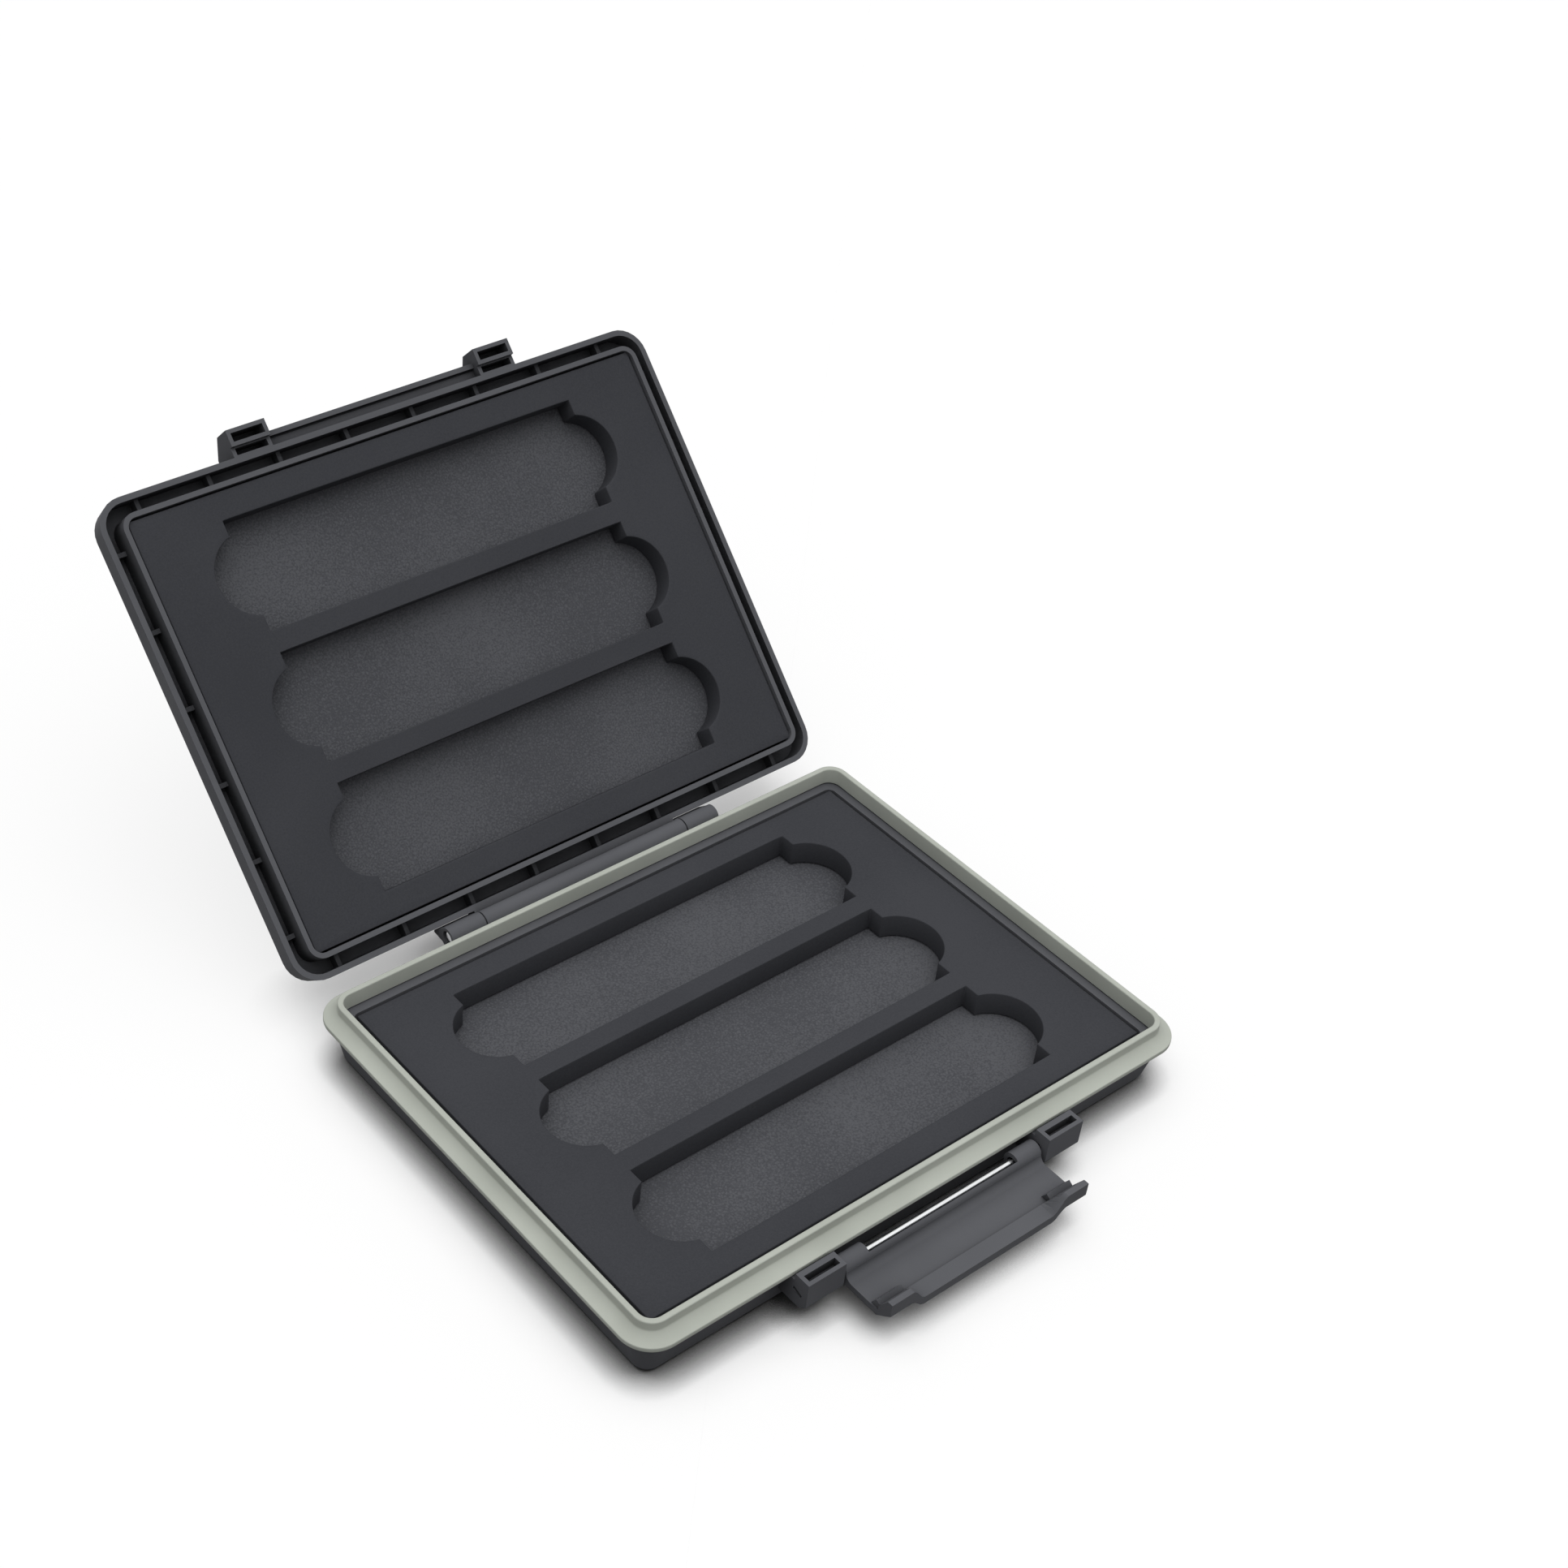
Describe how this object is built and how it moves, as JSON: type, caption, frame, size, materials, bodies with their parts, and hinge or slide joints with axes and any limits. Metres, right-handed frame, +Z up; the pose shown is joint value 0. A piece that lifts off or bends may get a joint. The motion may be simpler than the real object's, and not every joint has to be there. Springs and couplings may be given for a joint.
{
  "type": "drive card storage case",
  "caption": "Shallow hinged plastic case standing open, with slotted foam in base and lid, a soft seal ring around the base and a snap latch folded out in front.",
  "frame": {"origin": "middle of the base's flat underside, on the floor", "axes": "+X runs along the hinge to the right as seen from the latch, +Y runs from the latch to the hinge, +Z is up"},
  "size_m": [0.1274, 0.1893, 0.0838],
  "materials": {
    "shell_plastic": "satin",
    "seal_rubber": "matte",
    "slotted_foam": "matte",
    "backing_foam": "matte",
    "pin_steel": "polished"
  },
  "bodies": {
    "base": {"base_shell": "shell_plastic", "seal_ring": "seal_rubber", "base_foam": "slotted_foam", "base_foam_backing": "backing_foam", "hinge_pin": "pin_steel", "latch_pin": "pin_steel"},
    "lid": {"lid_shell": "shell_plastic", "lid_foam": "slotted_foam", "lid_foam_backing": "backing_foam"},
    "latch": {"latch": "shell_plastic"}
  },
  "joints": [
    {"name": "lid_hinge", "type": "hinge", "parent": "base", "child": "lid", "pos_m": [0, 0.05005, 0.0111], "axis": [1, 0, 0], "range_deg": [0, 134.8]},
    {"name": "latch_hinge", "type": "hinge", "parent": "base", "child": "latch", "pos_m": [0, -0.05045, 0.0076], "axis": [1, 0, 0], "range_deg": [-90, 0]}
  ]
}
